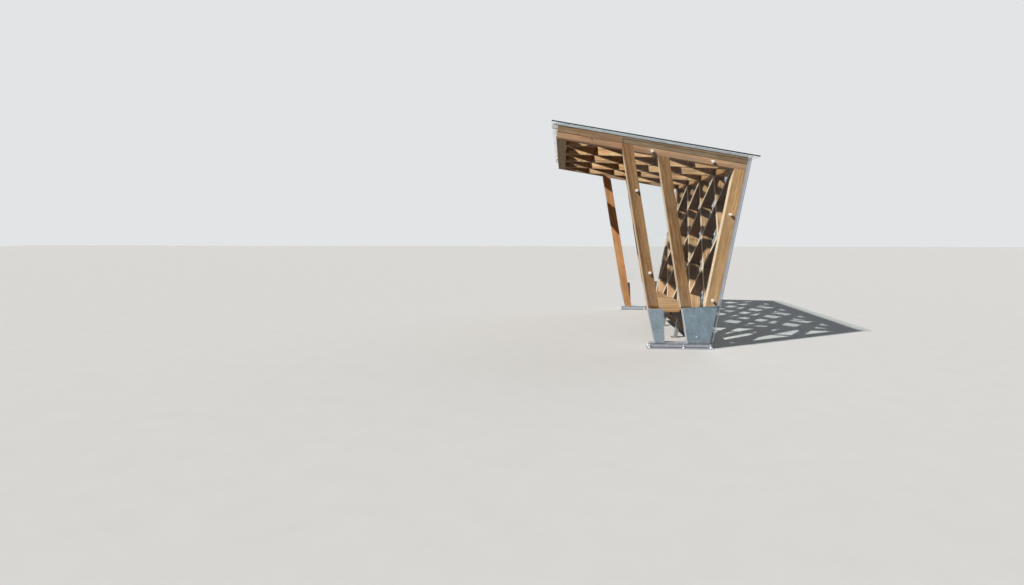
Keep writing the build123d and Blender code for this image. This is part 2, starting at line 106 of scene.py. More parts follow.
class Tree:
    """The node tree of a material or the world, with short ways to add nodes and wire them."""

    def __init__(self, owner):
        owner.use_nodes = True
        self.owner = owner
        self.nodes = owner.node_tree.nodes
        self.links = owner.node_tree.links
        self.shader = self.nodes.get("Principled BSDF")
        self.count = 0

    def set(self, socket, value):
        """Wires a node's output into a socket, or writes a plain value there."""
        if isinstance(value, bpy.types.NodeSocket):
            self.links.new(value, socket)
        elif isinstance(value, Vector):
            socket.default_value = tuple(value)
        elif isinstance(value, tuple) and len(value) == 3 and socket.type == "RGBA":
            socket.default_value = (*value, 1.0)
        else:
            socket.default_value = value

    def add(self, kind, inputs=None, **settings):
        """Adds a node of a kind, with its inputs wired or written, and with its settings."""
        made = self.nodes.new("ShaderNode" + kind)
        column, row = divmod(self.count, NODES_IN_COLUMN)
        made.location = (-NODE_WIDTH * (1 + column), -NODE_HEIGHT * row)
        self.count += 1
        for key, value in settings.items():
            setattr(made, key, value)
        for key, value in (inputs or {}).items():
            self.set(made.inputs[key], value)
        return made

    def maths(self, operation, *values, clamp=False):
        made = self.add("Math", operation=operation, use_clamp=clamp)
        for index, value in enumerate(values):
            self.set(made.inputs[index], value)
        return made.outputs[0]

    def plus(self, a, b, clamp=False):
        return self.maths("ADD", a, b, clamp=clamp)

    def minus(self, a, b, clamp=False):
        return self.maths("SUBTRACT", a, b, clamp=clamp)

    def times(self, a, b):
        return self.maths("MULTIPLY", a, b)

    def over(self, a, b):
        return self.maths("DIVIDE", a, b)

    def vary(self, tone, pattern, strength):
        """The tone, moved up and down by a pattern that runs from 0 to 1."""
        return self.plus(tone, self.times(self.minus(pattern, 0.5), strength))

    def vector(self, x, y, z):
        return self.add("CombineXYZ", {0: x, 1: y, 2: z}).outputs[0]

    def dot(self, a, b):
        return self.add("VectorMath", {0: a, 1: b}, operation="DOT_PRODUCT").outputs["Value"]

    def length(self, vector):
        return self.add("VectorMath", {0: vector}, operation="LENGTH").outputs["Value"]

    def apart(self, a, b):
        return self.add("VectorMath", {0: a, 1: b}, operation="SUBTRACT").outputs[0]

    def move(self, vector, offset):
        return self.add("VectorMath", {0: vector, 1: offset}, operation="ADD").outputs[0]

    def stretch(self, vector, factors):
        return self.add("VectorMath", {0: vector, 1: factors}, operation="MULTIPLY").outputs[0]

    def place(self):
        return self.add("TexCoord").outputs["Object"]

    def height(self, place):
        return self.add("SeparateXYZ", {0: place}).outputs[2]

    def facing(self):
        return self.add("NewGeometry").outputs["True Normal"]

    def channels(self, colour):
        return self.add("SeparateColor", {0: colour}).outputs

    def ramp(self, value, low, high, to_low=0.0, to_high=1.0, smooth=True):
        """Runs from to_low to to_high, while the value runs from low to high."""
        made = self.add("MapRange", {"Value": value, "From Min": low, "From Max": high})
        made.inputs["To Min"].default_value = to_low
        made.inputs["To Max"].default_value = to_high
        made.interpolation_type = "SMOOTHSTEP" if smooth else "LINEAR"
        return made.outputs[0]

    def noise(self, vector, scale, detail=3.0, roughness=0.55, distortion=0.0):
        """Noise from 0 to 1, with about as many blotches to the metre as scale says."""
        made = self.add("TexNoise", {"Vector": vector, "Scale": scale, "Detail": detail})
        made.inputs["Roughness"].default_value = roughness
        made.inputs["Distortion"].default_value = distortion
        return made.outputs[0]

    def cells(self, vector, scale):
        inputs = {"Vector": vector, "Scale": scale, "Randomness": 1.0}
        return self.add("TexVoronoi", inputs, feature="F1").outputs

    def chance(self, dimensions, **inputs):
        """A random value and colour, which stay the same for the same input."""
        return self.add("TexWhiteNoise", inputs, noise_dimensions=dimensions).outputs

    def mix(self, factor, a, b, blend="MIX"):
        """Two colours mixed. A Mix node's colours are its inputs 6 and 7 and its output 2."""
        made = self.add("Mix", data_type="RGBA", blend_type=blend, clamp_factor=True)
        self.set(made.inputs[0], factor)
        self.set(made.inputs[6], a)
        self.set(made.inputs[7], b)
        return made.outputs[2]

    def bump(self, relief, distance, strength, normal=None):
        made = self.add("Bump", {"Height": relief, "Distance": distance, "Strength": strength})
        if normal is not None:
            self.set(made.inputs["Normal"], normal)
        return made.outputs[0]

    def worn_edges(self, radius):
        """A rounded normal for the arrises, and a mask that is 1 along them."""
        rounded = self.add("Bevel", {"Radius": radius}, samples=4).outputs[0]
        agreement = self.dot(rounded, self.add("NewGeometry").outputs["Normal"])
        return rounded, self.ramp(agreement, FLAT_AGREEMENT, EDGE_AGREEMENT)

    def looked_at(self):
        """1 where the camera, a reflection or a view through glass looks, and 0 for light on the object."""
        rays = self.add("LightPath").outputs
        through = self.maths("MAXIMUM", rays["Is Glossy Ray"], rays["Is Transmission Ray"])
        return self.maths("MAXIMUM", rays["Is Camera Ray"], through)

    def coat(self, colour, roughness, normal, metallic=0.0):
        """Gives the shader its colour, roughness and normal, and hands back the material."""
        self.set(self.shader.inputs["Base Color"], colour)
        self.set(self.shader.inputs["Roughness"], roughness)
        self.set(self.shader.inputs["Normal"], normal)
        self.shader.inputs["Metallic"].default_value = metallic
        return self.owner


def new_tree(name):
    return Tree(bpy.data.materials.new(name))


def shade(colour, share):
    return tuple(channel * share for channel in colour)


# Light and dark wood of each piece
LIGHT_AND_DARK_WOOD = {
    "right_front_post": ((0.450, 0.245, 0.108), (0.203, 0.101, 0.043)),
    # The left front post's wood is a paler copy of the right one's: painted light, for the sun on its inner
    # face
    "left_front_post": ((0.800, 0.430, 0.200), (0.500, 0.240, 0.110)),
    "middle_post": ((0.485, 0.284, 0.128), (0.202, 0.106, 0.044)),
    "rear_post": ((0.815, 0.522, 0.268), (0.455, 0.255, 0.121)),
    "roof_beam": ((0.680, 0.424, 0.275), (0.375, 0.218, 0.140)),
    "verge_board": ((0.428, 0.292, 0.188), (0.215, 0.140, 0.086)),
    "front_beam": ((0.530, 0.362, 0.192), (0.290, 0.190, 0.097)),
    "rear_beam": ((0.620, 0.350, 0.150), (0.290, 0.140, 0.058)),
    "roof_lattice": ((0.770, 0.500, 0.290), (0.340, 0.183, 0.086)),
    "wall_lattice": ((0.690, 0.440, 0.235), (0.310, 0.175, 0.088)),
    "bench_slats": ((0.570, 0.350, 0.180), (0.320, 0.180, 0.088)),
    "bench_bearers": ((0.560, 0.350, 0.190), (0.300, 0.175, 0.092)),
}
REDDISH_TINT = (1.0, 0.86, 0.74)
YELLOWISH_TINT = (0.93, 1.0, 0.92)
GREY_WOOD = (0.250, 0.200, 0.145)
WET_WOOD = (0.215, 0.138, 0.075)
# Painted highlight: the paler colour of the faces that look towards one side
HIGHLIGHT_WOOD = (0.860, 0.740, 0.570)

# How the wood is drawn: sizes in metres, and the number of knots' cells to the metre
ONE_BOARD = 50.0
BOARD_DRAW = 3.7
BOARD_SHIFT = 17.0
KNOT_SHIFT = 9.0
RING_WIDTH = 0.0052
RING_WANDER = 0.055
LARGEST_KNOT = 0.017
KNOTS_ALONG = 2.1
KNOTS_ACROSS = 5.5
KNOT_CELL = (0.33, 0.182, 0.182)
PITH_DEPTH = 0.04
PITH_SPREAD = 0.09
FADE_BASE = 2.718
WOOD_GLOSS = 0.12


def knots_in(tree, lengthways, crossways, inwards, draw):
    """A mask that is 1 in the knots, and how far they push the growth rings outwards.

    A knot's cell is taken short along the grain, which draws the knots out.
    """
    place = tree.vector(tree.times(lengthways, KNOTS_ALONG), tree.times(crossways, KNOTS_ACROSS),
                        tree.plus(tree.times(inwards, KNOTS_ACROSS), tree.times(draw, KNOT_SHIFT)))
    cells = tree.cells(place, 1.0)
    gap = tree.length(tree.stretch(tree.apart(place, cells["Position"]), KNOT_CELL))
    chosen = tree.channels(cells["Color"])[0]
    size = tree.ramp(chosen, 0.45, 1.0, 0.0, LARGEST_KNOT, smooth=False)
    outside = tree.ramp(tree.over(gap, tree.plus(size, 0.0005)), 0.75, 1.15)
    fade = tree.over(gap, tree.plus(tree.times(size, 1.6), 0.001))
    swirl = tree.times(tree.maths("POWER", FADE_BASE, tree.times(-1.0, fade)), tree.times(size, 1.1))
    return tree.minus(1.0, outside), swirl


def rings_in(tree, lengthways, crossways, inwards, draws, plank, corner_depth, swirl):
    """The distance from the pith behind the board, the late wood of its rings, and a tone for each ring."""
    bends = tree.vector(tree.times(lengthways, 0.7), tree.times(crossways, 3.0), tree.times(inwards, 3.0))
    wander = tree.noise(bends, scale=1.0, detail=2.0)
    from_pith = tree.plus(crossways, tree.times(tree.minus(draws[0], 0.5), plank * 1.4))
    above_pith = tree.plus(inwards, tree.plus(PITH_DEPTH, tree.times(draws[1], PITH_SPREAD)))
    above_pith = tree.minus(above_pith, corner_depth)
    squares = tree.plus(tree.times(from_pith, from_pith), tree.times(above_pith, above_pith))
    radius = tree.plus(tree.maths("SQRT", squares), tree.times(wander, RING_WANDER))
    radius = tree.minus(radius, swirl)
    ring = tree.over(radius, RING_WIDTH)
    late_wood = tree.maths("POWER", tree.maths("FRACT", ring), 3.0)
    ring_tone = tree.chance("1D", W=tree.maths("FLOOR", ring))["Value"]
    return radius, late_wood, ring_tone


def timber(name, wood, grain, across, depth, seed, pitch=ONE_BOARD, shift=0.0, plank=0.15, grey=0.25,
           splash=0.0, highlight_side=None, highlight_share=0.0, damp=None, painted_shade=0.0):
    """Planed softwood: growth rings about a pith that differs from board to board, streaks, knots, weather.

    grain, across and depth are the board's own directions. Boards about as wide as plank lie side by side
    across at the pitch, counted from shift. grey is how grey the blotches are, and splash how dark the foot
    is. Faces that look towards the highlight side get a painted highlight, as strong as the highlight share.
    damp is the place, measured along across, of the upper side of a dark wet line. The painted shade darkens
    the faces that look away from the sun, by its given strength.
    """
    light, dark = LIGHT_AND_DARK_WOOD[wood]
    tree = new_tree(name)
    place = tree.place()
    crossways_all = tree.minus(tree.dot(place, across), shift)
    board = tree.maths("ROUND", tree.over(crossways_all, pitch))
    crossways = tree.minus(crossways_all, tree.times(board, pitch))
    inwards = tree.dot(place, depth)
    draws = tree.channels(tree.chance("3D", Vector=tree.vector(board, seed, BOARD_DRAW))["Color"])
    lengthways = tree.plus(tree.dot(place, grain), tree.times(draws[2], BOARD_SHIFT))
    knot, swirl = knots_in(tree, lengthways, crossways, inwards, draws[0])
    radius, late_wood, ring_tone = rings_in(tree, lengthways, crossways, inwards, draws, plank,
                                            depth.dot(FRONT_CORNER), swirl)

    # Fine fibres, streaks, spots and slow changes of tone and hue, all drawn out along the grain
    def drawn_out(long_scale, cross_scale, detail, roughness, distortion=0.0):
        spot = tree.vector(tree.times(lengthways, long_scale), tree.times(crossways_all, cross_scale),
                           tree.times(inwards, cross_scale))
        return tree.noise(spot, 1.0, detail, roughness, distortion)

    fibre = drawn_out(long_scale=5.0, cross_scale=420.0, detail=3.0, roughness=0.6)
    streak = drawn_out(long_scale=0.9, cross_scale=26.0, detail=4.0, roughness=0.62, distortion=0.25)
    slow = drawn_out(long_scale=1.6, cross_scale=5.0, detail=3.0, roughness=0.5)
    mottle = drawn_out(long_scale=5.5, cross_scale=48.0, detail=3.0, roughness=0.6)
    drift = drawn_out(long_scale=2.6, cross_scale=14.0, detail=2.0, roughness=0.5)
    zone_place = tree.vector(tree.times(radius, 42.0), tree.times(lengthways, 0.15),
                             tree.times(draws[0], 30.0))
    zone = tree.noise(zone_place, scale=1.0, detail=2.0, roughness=0.5)
    tone = tree.plus(tree.times(late_wood, 0.30), tree.times(ring_tone, 0.16))
    patterns = ((zone, 1.6), (streak, 2.0), (fibre, 0.5), (slow, 1.5), (mottle, 1.7), (draws[1], 0.45))
    for pattern, strength in patterns:
        tone = tree.vary(tone, pattern, strength)
    tone = tree.plus(tone, 0.28, clamp=True)
    colour = tree.mix(tone, light, dark)
    tint = tree.mix(tree.ramp(drift, 0.38, 0.64), REDDISH_TINT, YELLOWISH_TINT)
    colour = tree.mix(0.8, colour, tint, "MULTIPLY")
    knot_colour = (dark[0] * 0.30, dark[1] * 0.24, dark[2] * 0.21)
    colour = tree.mix(tree.times(knot, 0.85), colour, knot_colour)

    # Weather and painted light: dark end grain, grey blotches, a wet foot, a painted highlight on one side,
    # painted shade on the faces away from the sun, and worn arrises
    facing = tree.facing()
    end_grain = tree.ramp(tree.maths("ABSOLUTE", tree.dot(facing, grain)), 0.75, 0.95)
    colour = tree.mix(tree.times(end_grain, 0.45), colour, shade(dark, 0.55))
    if splash:
        wet_height = tree.plus(tree.height(place), tree.times(streak, 0.55))
        colour = tree.mix(tree.ramp(wet_height, 0.75, 1.45, splash, 0.0), colour, WET_WOOD)
    blotch = tree.plus(tree.noise(place, scale=2.3, detail=5.0, roughness=0.62), tree.times(streak, 0.35))
    colour = tree.mix(tree.times(tree.ramp(blotch, 0.55, 0.85), grey), colour, GREY_WOOD)
    # Painted highlight: the faces that look towards one side are paler
    if highlight_side is not None:
        highlight_mask = tree.ramp(tree.dot(facing, highlight_side), 0.75, 0.95, 0.0, highlight_share)
        colour = tree.mix(highlight_mask, colour, HIGHLIGHT_WOOD)
    # Painted shade: the faces that look away from the sun are darker
    if painted_shade:
        shade_mask = tree.ramp(tree.dot(facing, SUNNY), -0.15, 0.10, painted_shade, 0.0)
        colour = tree.mix(shade_mask, colour, (dark[0] * 0.40, dark[1] * 0.33, dark[2] * 0.26))
    if damp is not None:
        damp_edge = tree.plus(crossways_all, tree.times(slow, 0.010))
        colour = tree.mix(tree.ramp(damp_edge, damp, damp + 0.016, 0.75, 0.0), colour, shade(dark, 0.45))
    rounded, worn = tree.worn_edges(0.006)
    worn_colour = tuple(min(1.0, channel * 1.40) for channel in light)
    colour = tree.mix(tree.times(worn, 0.42), colour, worn_colour)

    relief = tree.plus(tree.times(late_wood, 0.5), tree.times(fibre, 0.7))
    relief = tree.minus(relief, tree.times(knot, 0.5))
    normal = tree.bump(relief, distance=0.0006, strength=0.55, normal=rounded)
    tree.shader.inputs["Specular IOR Level"].default_value = WOOD_GLOSS
    return tree.coat(colour, tree.plus(0.52, tree.times(fibre, 0.28)), normal)


# Light and dark metal of each piece
LIGHT_AND_DARK_METAL = {
    "front_shoe": ((0.365, 0.455, 0.520), (0.200, 0.262, 0.312)),
    "foot_plate": ((0.290, 0.385, 0.455), (0.160, 0.220, 0.272)),
    "right_base_rail": ((0.490, 0.520, 0.575), (0.310, 0.335, 0.380)),
    # The left rail's zinc is a paler copy of the right rail's: painted light that lifts the shade on its web
    "left_base_rail": ((0.620, 0.670, 0.720), (0.440, 0.490, 0.540)),
    "bench_legs": ((0.52, 0.55, 0.57), (0.30, 0.33, 0.36)),
    "bright_zinc": ((0.82, 0.85, 0.90), (0.62, 0.66, 0.72)),
    "verge_profile": ((0.60, 0.63, 0.66), (0.40, 0.43, 0.46)),
    "wall_profile": ((0.46, 0.475, 0.575), (0.33, 0.34, 0.41)),
    "front_profile": ((0.74, 0.75, 0.76), (0.50, 0.52, 0.54)),
    "cream_aluminium": ((0.66, 0.67, 0.66), (0.48, 0.49, 0.49)),
    "dark_aluminium": ((0.30, 0.31, 0.32), (0.20, 0.21, 0.22)),
}

# Dirt, wear and dust, a painted highlight and painted shade, the colours of turned steel and rubber, and how
# far the spangle is bent
GROUND_DIRT = (0.215, 0.185, 0.160)
FRONT_HIGHLIGHT_ZINC = (0.600, 0.630, 0.670)
WHITE_ZINC = (0.62, 0.64, 0.65)
WORN_ZINC = (0.70, 0.73, 0.75)
CORNER_SHADE_AND_DIRT = (0.050, 0.050, 0.060)
SPOT_DIRT = (0.36, 0.34, 0.31)
TOP_DIRT = (0.200, 0.205, 0.195)
WORN_ALUMINIUM = (0.72, 0.73, 0.74)
TURNED_STEEL = (0.92, 0.92, 0.91)
WORN_STEEL = (0.86, 0.86, 0.86)
RUBBER = (0.035, 0.035, 0.036)
RUBBER_DUST = (0.16, 0.155, 0.15)
SPANGLE_BEND = (0.012, 0.012, 0.012)


def zinc(name, metal, seed, dirt=0.5, metallic=0.45, front=0.0, corner=None):
    """Hot-dip galvanised steel: spangle, dull patches, faint runs and dirt near the ground.

    dirt is how much of it lies near the ground. front is the strength of a painted highlight on the faces
    that look to the front. corner is the height up to which a dark line of painted shade and dirt stands
    over the flange of a rail.
    """
    light, dark = LIGHT_AND_DARK_METAL[metal]
    tree = new_tree(name)
    place = tree.place()
    moved = tree.move(place, (seed * 1.7, seed * 0.9, seed * 2.3))
    warp = tree.add("TexNoise", {"Vector": moved, "Scale": 30.0, "Detail": 2.0}).outputs["Color"]
    bent = tree.move(moved, tree.stretch(warp, SPANGLE_BEND))
    large_flake = tree.channels(tree.cells(bent, 55.0)["Color"])[0]
    small_flake = tree.channels(tree.cells(bent, 150.0)["Color"])[1]
    patch = tree.noise(moved, scale=7.0, detail=6.0, roughness=0.68)
    runs = tree.noise(tree.stretch(moved, (16.0, 16.0, 1.6)), scale=1.0, detail=4.0, roughness=0.6)
    tone = tree.plus(tree.times(large_flake, 0.40), tree.times(small_flake, 0.16))
    tone = tree.vary(tree.vary(tone, patch, 1.5), runs, 0.9)
    colour = tree.mix(tree.plus(tone, 0.20, clamp=True), dark, light)
    white = tree.times(tree.ramp(tree.noise(moved, scale=19.0, detail=5.0, roughness=0.7), 0.56, 0.74), 0.45)
    colour = tree.mix(white, colour, WHITE_ZINC)
    height = tree.height(place)
    low = tree.ramp(tree.plus(height, tree.times(patch, 0.10)), 0.05, 0.24, dirt, 0.0)
    colour = tree.mix(low, colour, GROUND_DIRT)
    facing = tree.facing()
    # Painted highlight: the faces that look to the front are paler
    if front:
        front_highlight = tree.ramp(tree.dot(facing, -REARWARD), 0.7, 0.9, 0.0, front)
        colour = tree.mix(front_highlight, colour, FRONT_HIGHLIGHT_ZINC)
    # Painted shade and dirt: a dark line in the corner over the rail's flange
    if corner:
        upright = tree.ramp(tree.maths("ABSOLUTE", tree.dot(facing, ACROSS)), 0.7, 0.9)
        under = tree.ramp(height, corner * 0.8, corner, 1.0, 0.0)
        on_flange = tree.ramp(height, FLANGE_TOP - 0.0005, FLANGE_TOP + 0.0005, 0.0, 0.8)
        colour = tree.mix(tree.times(upright, tree.times(under, on_flange)), colour, CORNER_SHADE_AND_DIRT)
    rounded, worn = tree.worn_edges(0.0025)
    colour = tree.mix(tree.times(worn, 0.5), colour, WORN_ZINC)
    roughness = tree.plus(0.40, tree.times(large_flake, 0.14))
    roughness = tree.plus(roughness, tree.times(white, 0.45))
    roughness = tree.plus(roughness, tree.times(low, 0.3), clamp=True)
    relief = tree.plus(tree.times(patch, 0.8), tree.times(large_flake, 0.15))
    normal = tree.bump(relief, distance=0.0009, strength=0.35, normal=rounded)
    return tree.coat(colour, roughness, normal, metallic)


def aluminium(name, metal, grain, metallic=0.35):
    """Satin aluminium with drawn lines along the profile, and grime that lies on its upper side."""
    light, dark = LIGHT_AND_DARK_METAL[metal]
    tree = new_tree(name)
    place = tree.place()
    first = ACROSS if abs(grain.x) < 0.5 else NORMAL
    second = grain.cross(first)
    drawn = tree.vector(tree.times(tree.dot(place, grain), 2.0), tree.times(tree.dot(place, first), 700.0),
                        tree.times(tree.dot(place, second), 700.0))
    lines = tree.noise(drawn, scale=1.0, detail=2.0, roughness=0.6)
    grime = tree.noise(place, scale=6.0, detail=6.0, roughness=0.66)
    spots = tree.ramp(tree.noise(place, scale=60.0, detail=4.0, roughness=0.7), 0.60, 0.78)
    tone = tree.plus(tree.times(lines, 0.35), tree.ramp(grime, 0.35, 0.75, 0.0, 0.75), clamp=True)
    colour = tree.mix(tone, light, dark)
    colour = tree.mix(tree.times(spots, 0.35), colour, SPOT_DIRT)
    upward = tree.ramp(tree.dot(tree.facing(), NORMAL), 0.6, 0.9, 0.0, 0.55)
    colour = tree.mix(tree.times(upward, tree.ramp(grime, 0.25, 0.55, 0.6, 1.0)), colour, TOP_DIRT)
    rounded, worn = tree.worn_edges(0.0015)
    colour = tree.mix(tree.times(worn, 0.3), colour, WORN_ALUMINIUM)
    roughness = tree.plus(0.30, tree.times(grime, 0.30))
    normal = tree.bump(lines, distance=0.0002, strength=0.3, normal=rounded)
    return tree.coat(colour, roughness, normal, metallic)


def turned_steel(name):
    """Bright turned stainless steel with a fine grain and worn high points."""
    tree = new_tree(name)
    place = tree.place()
    fine = tree.noise(place, scale=900.0, detail=2.0, roughness=0.5)
    smear = tree.noise(place, scale=45.0, detail=4.0, roughness=0.6)
    colour = tree.mix(tree.ramp(smear, 0.35, 0.7, 0.0, 0.6), TURNED_STEEL, shade(TURNED_STEEL, 0.76))
    rounded, worn = tree.worn_edges(0.0012)
    colour = tree.mix(tree.times(worn, 0.5), colour, WORN_STEEL)
    roughness = tree.plus(0.20, tree.times(smear, 0.25))
    normal = tree.bump(fine, distance=0.0001, strength=0.2, normal=rounded)
    return tree.coat(colour, roughness, normal, metallic=0.35)


def rubber(name):
    """Black rubber with a fine moulded texture and pale dust."""
    tree = new_tree(name)
    place = tree.place()
    fine = tree.noise(place, scale=500.0, detail=3.0, roughness=0.6)
    powder = tree.ramp(tree.noise(place, scale=25.0, detail=4.0, roughness=0.65), 0.45, 0.8, 0.0, 0.5)
    colour = tree.mix(powder, RUBBER, RUBBER_DUST)
    normal = tree.bump(fine, distance=0.0003, strength=0.4)
    return tree.coat(colour, tree.plus(0.62, tree.times(fine, 0.25)), normal)


# Glass: index of refraction, how strong its reflections are, and the shade that its edges throw
GLASS_INDEX = 1.45
GLASS_GLOSS = 0.2
GLASS_SHEEN = (0.3, 0.3, 0.3, 1.0)
EDGE_SHADOW = (0.02, 0.04, 0.05)


def glass(name, face, tint, edge, through=(0.90, 0.94, 0.93), dust=0.05, dust_low=0.0):
    """Clear laminated glass with polished edges, water marks, and dust that gathers at the foot.

    face is the direction square to the panes. tint colours the panes and edge their rims, and through is
    the colour of the light that falls through them. dust is how much of it lies everywhere, and dust_low how
    much more lies at the foot.
    """
    tree = new_tree(name)
    place = tree.place()
    rim = tree.ramp(tree.maths("ABSOLUTE", tree.dot(tree.facing(), face)), 0.3, 0.7, 1.0, 0.0)
    marks = tree.noise(tree.stretch(place, (9.0, 9.0, 2.2)), scale=1.0, detail=6.0, roughness=0.62)
    drops = tree.noise(place, scale=130.0, detail=3.0, roughness=0.6)
    film = tree.times(tree.ramp(marks, 0.40, 0.80), tree.ramp(drops, 0.35, 0.75, 0.4, 1.0))
    film = tree.times(film, dust)
    if dust_low:
        dusty_height = tree.plus(tree.height(place), tree.times(marks, 0.3))
        film = tree.plus(film, tree.ramp(dusty_height, 0.55, 1.25, dust_low, 0.0))
    film = tree.times(film, tree.minus(1.0, rim))
    opaque = tree.plus(film, tree.times(rim, 0.75))
    tree.set(tree.shader.inputs["Transmission Weight"], tree.minus(1.0, opaque, clamp=True))
    tree.shader.inputs["IOR"].default_value = GLASS_INDEX
    tree.shader.inputs["Specular IOR Level"].default_value = GLASS_GLOSS
    tree.shader.inputs["Specular Tint"].default_value = GLASS_SHEEN
    roughness = tree.plus(tree.times(film, 0.15), tree.times(rim, 0.22))
    ripple = tree.noise(place, scale=1.1, detail=1.0, roughness=0.4)
    normal = tree.bump(ripple, distance=0.002, strength=0.05)
    material = tree.coat(tree.mix(rim, tint, edge), roughness, normal)

    # Light falls through the glass without caustics
    light_through = tree.mix(tree.times(rim, 0.8), through, EDGE_SHADOW)
    clear = tree.add("BsdfTransparent", {"Color": light_through})
    rays = tree.add("LightPath").outputs
    lighting = tree.maths("MAXIMUM", rays["Is Shadow Ray"], rays["Is Diffuse Ray"])
    blend = tree.add("MixShader", {0: lighting, 1: tree.shader.outputs[0], 2: clear.outputs[0]})
    tree.links.new(blend.outputs[0], tree.nodes["Material Output"].inputs["Surface"])
    return material


def dress(name, material):
    """Gives a CAD node its material."""
    mesh = nodes[name].data
    if not mesh.materials:
        mesh.materials.append(material)
    for index in range(len(mesh.materials)):
        mesh.materials[index] = material


def leaning(degrees):
    """The grain of a post that leans to the front, and the direction of its width."""
    lean = math.radians(degrees)
    return Vector((0.0, -math.sin(lean), math.cos(lean))), Vector((0.0, math.cos(lean), math.sin(lean)))


# Timber of the end frames, with a seed of its own for each piece
damp_line = NORMAL.dot(FRONT_CORNER) + VERGE_BOARD_FOOT
# The posts' faces that look to the front get a painted highlight
for number, end in enumerate(ENDS):
    seed = 10.0 * number
    posts = (("front_post", f"{end}_front_post", FRONT_POST_LEAN, seed + 1),
             ("middle_post", "middle_post", MIDDLE_POST_LEAN, seed + 2))
    for post, wood, lean, post_seed in posts:
        grain, width = leaning(lean)
        dress(f"{end}_{post}", timber(f"{end}_{post}", wood, grain, width, ACROSS, post_seed, grey=0.12,
                                      splash=0.15, highlight_side=-width, highlight_share=0.75))
    dress(f"{end}_rear_post", timber(f"{end}_rear_post", "rear_post", NORMAL, ALONG, ACROSS, seed + 3,
                                     splash=0.12, highlight_side=-ALONG, highlight_share=0.75))
    dress(f"{end}_roof_beam", timber(f"{end}_roof_beam", "roof_beam", ALONG, NORMAL, ACROSS, seed + 4,
                                     grey=0.20))
    dress(f"{end}_verge_board", timber(f"{end}_verge_board", "verge_board", ALONG, NORMAL, ACROSS, seed + 5,
                                       grey=0.35, damp=damp_line))

# Timber of the long beams
dress("front_beam", timber("front_beam", "front_beam", ACROSS, ALONG, NORMAL, seed=31.0, grey=0.4))
dress("rear_top_beam", timber("rear_top_beam", "rear_beam", ACROSS, ALONG, NORMAL, seed=32.0))
dress("rear_bottom_beam", timber("rear_bottom_beam", "rear_beam", ACROSS, NORMAL, ALONG, seed=33.0,
                                 splash=0.3))

# Timber of the lattices, where each plank is a board of its own
roof_start = FRONT_CORNER + ALONG * FRONT_BEAM_WIDTH
wall_start = FRONT_CORNER + ALONG * FOLD_REACH
panels = (("roof", ALONG, NORMAL, roof_start, 0.5, 41.0), ("wall", -NORMAL, ALONG, wall_start, 0.0, 43.0))
for panel, down, outwards, start, phase, seed in panels:
    for way, sign, plank_seed in (("forward", 1.0, seed), ("cross", -1.0, seed + 1)):
        grain = ACROSS * (sign * math.sin(PLANK_ANGLE)) + down * math.cos(PLANK_ANGLE)
        across = ACROSS * math.cos(PLANK_ANGLE) - down * (sign * math.sin(PLANK_ANGLE))
        shift = across.dot(start) - sign * phase * PLANK_PITCH
        # The planks' inner edges get a painted highlight, and their faces that look away from the sun
        # painted shade
        planks = timber(f"{panel}_{way}_planks", f"{panel}_lattice", grain, across, outwards, plank_seed,
                        pitch=PLANK_PITCH, shift=shift, plank=0.05, highlight_side=-outwards, highlight_share=0.8, painted_shade=0.80)
        dress(f"{panel}_lattice_{way}_planks", planks)

# Timber of the bench
dress("bench_seat_slats", timber("bench_slats", "bench_slats", REARWARD, ACROSS, UP, seed=51.0,
                                 pitch=SLAT_PITCH, shift=SLAT_START, plank=0.09, grey=0.35))
dress("bench_bearers", timber("bench_bearers", "bench_bearers", ACROSS, REARWARD, UP, seed=52.0, plank=0.04))

# Steel, profiles and rubber
for number, end in enumerate(ENDS):
    seed = 5.0 * number
    dress(f"{end}_front_shoe", zinc(f"{end}_front_shoe", "front_shoe", seed + 1, front=0.9))
    dress(f"{end}_foot_plate", zinc(f"{end}_foot_plate", "foot_plate", seed + 2, front=0.9))
    dress(f"{end}_base_rail", zinc(f"{end}_base_rail", f"{end}_base_rail", seed + 3, dirt=0.12, front=0.5,
                                   corner=RAIL_CORNER))
    dress(f"{end}_verge_profile", aluminium(f"{end}_verge_profile", "verge_profile", ALONG))
    dress(f"{end}_wall_profile", aluminium(f"{end}_wall_profile", "wall_profile", NORMAL, metallic=0.15))
dress("bench_legs", zinc("bench_legs", "bench_legs", seed=4.0))
dress("front_glass_profile", aluminium("front_profile", "front_profile", ACROSS))
pads = rubber("pad_rubber")
dress("roof_glass_pads", pads)
dress("wall_glass_pads", pads)

# Glass
roof_pane = glass("roof_glass", NORMAL, tint=(0.93, 0.97, 0.96), edge=(0.015, 0.030, 0.060),
                  through=(0.86, 0.89, 0.89), dust=0.08)
rear_pane = glass("rear_glass", ALONG, tint=(0.97, 0.985, 0.98), edge=(0.36, 0.42, 0.48), dust=0.03,
                  dust_low=0.04)
side_pane = glass("side_glass", ACROSS, tint=(0.975, 0.985, 0.98), edge=(0.320, 0.370, 0.350),
                  through=(0.96, 0.975, 0.97), dust=0.01, dust_low=0.03)
for index in range(1, PANE_COUNT + 1):
    dress(f"roof_glass_{index}", roof_pane)
    dress(f"rear_glass_{index}", rear_pane)
for end in ENDS:
    dress(f"{end}_side_glass", side_pane)


# Small parts: point fixings, anchors, the front edge of the roof glass, and plate bolts
SHARP_ANGLE = math.radians(30.0)


def add_piece(name, shape, material):
    """Turns a bmesh into a piece of the shelter, smooth where it bends less than the sharp angle."""
    bmesh.ops.recalc_face_normals(shape, faces=shape.faces[:])
    mesh = bpy.data.meshes.new(name)
    shape.to_mesh(mesh)
    shape.free()
    mesh.materials.append(material)
    mesh.validate()
    for polygon in mesh.polygons:
        polygon.use_smooth = True
    mesh.set_sharp_from_angle(angle=SHARP_ANGLE)
    made = bpy.data.objects.new(name, mesh)
    scene.collection.objects.link(made)
    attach(made, "root")
    return made


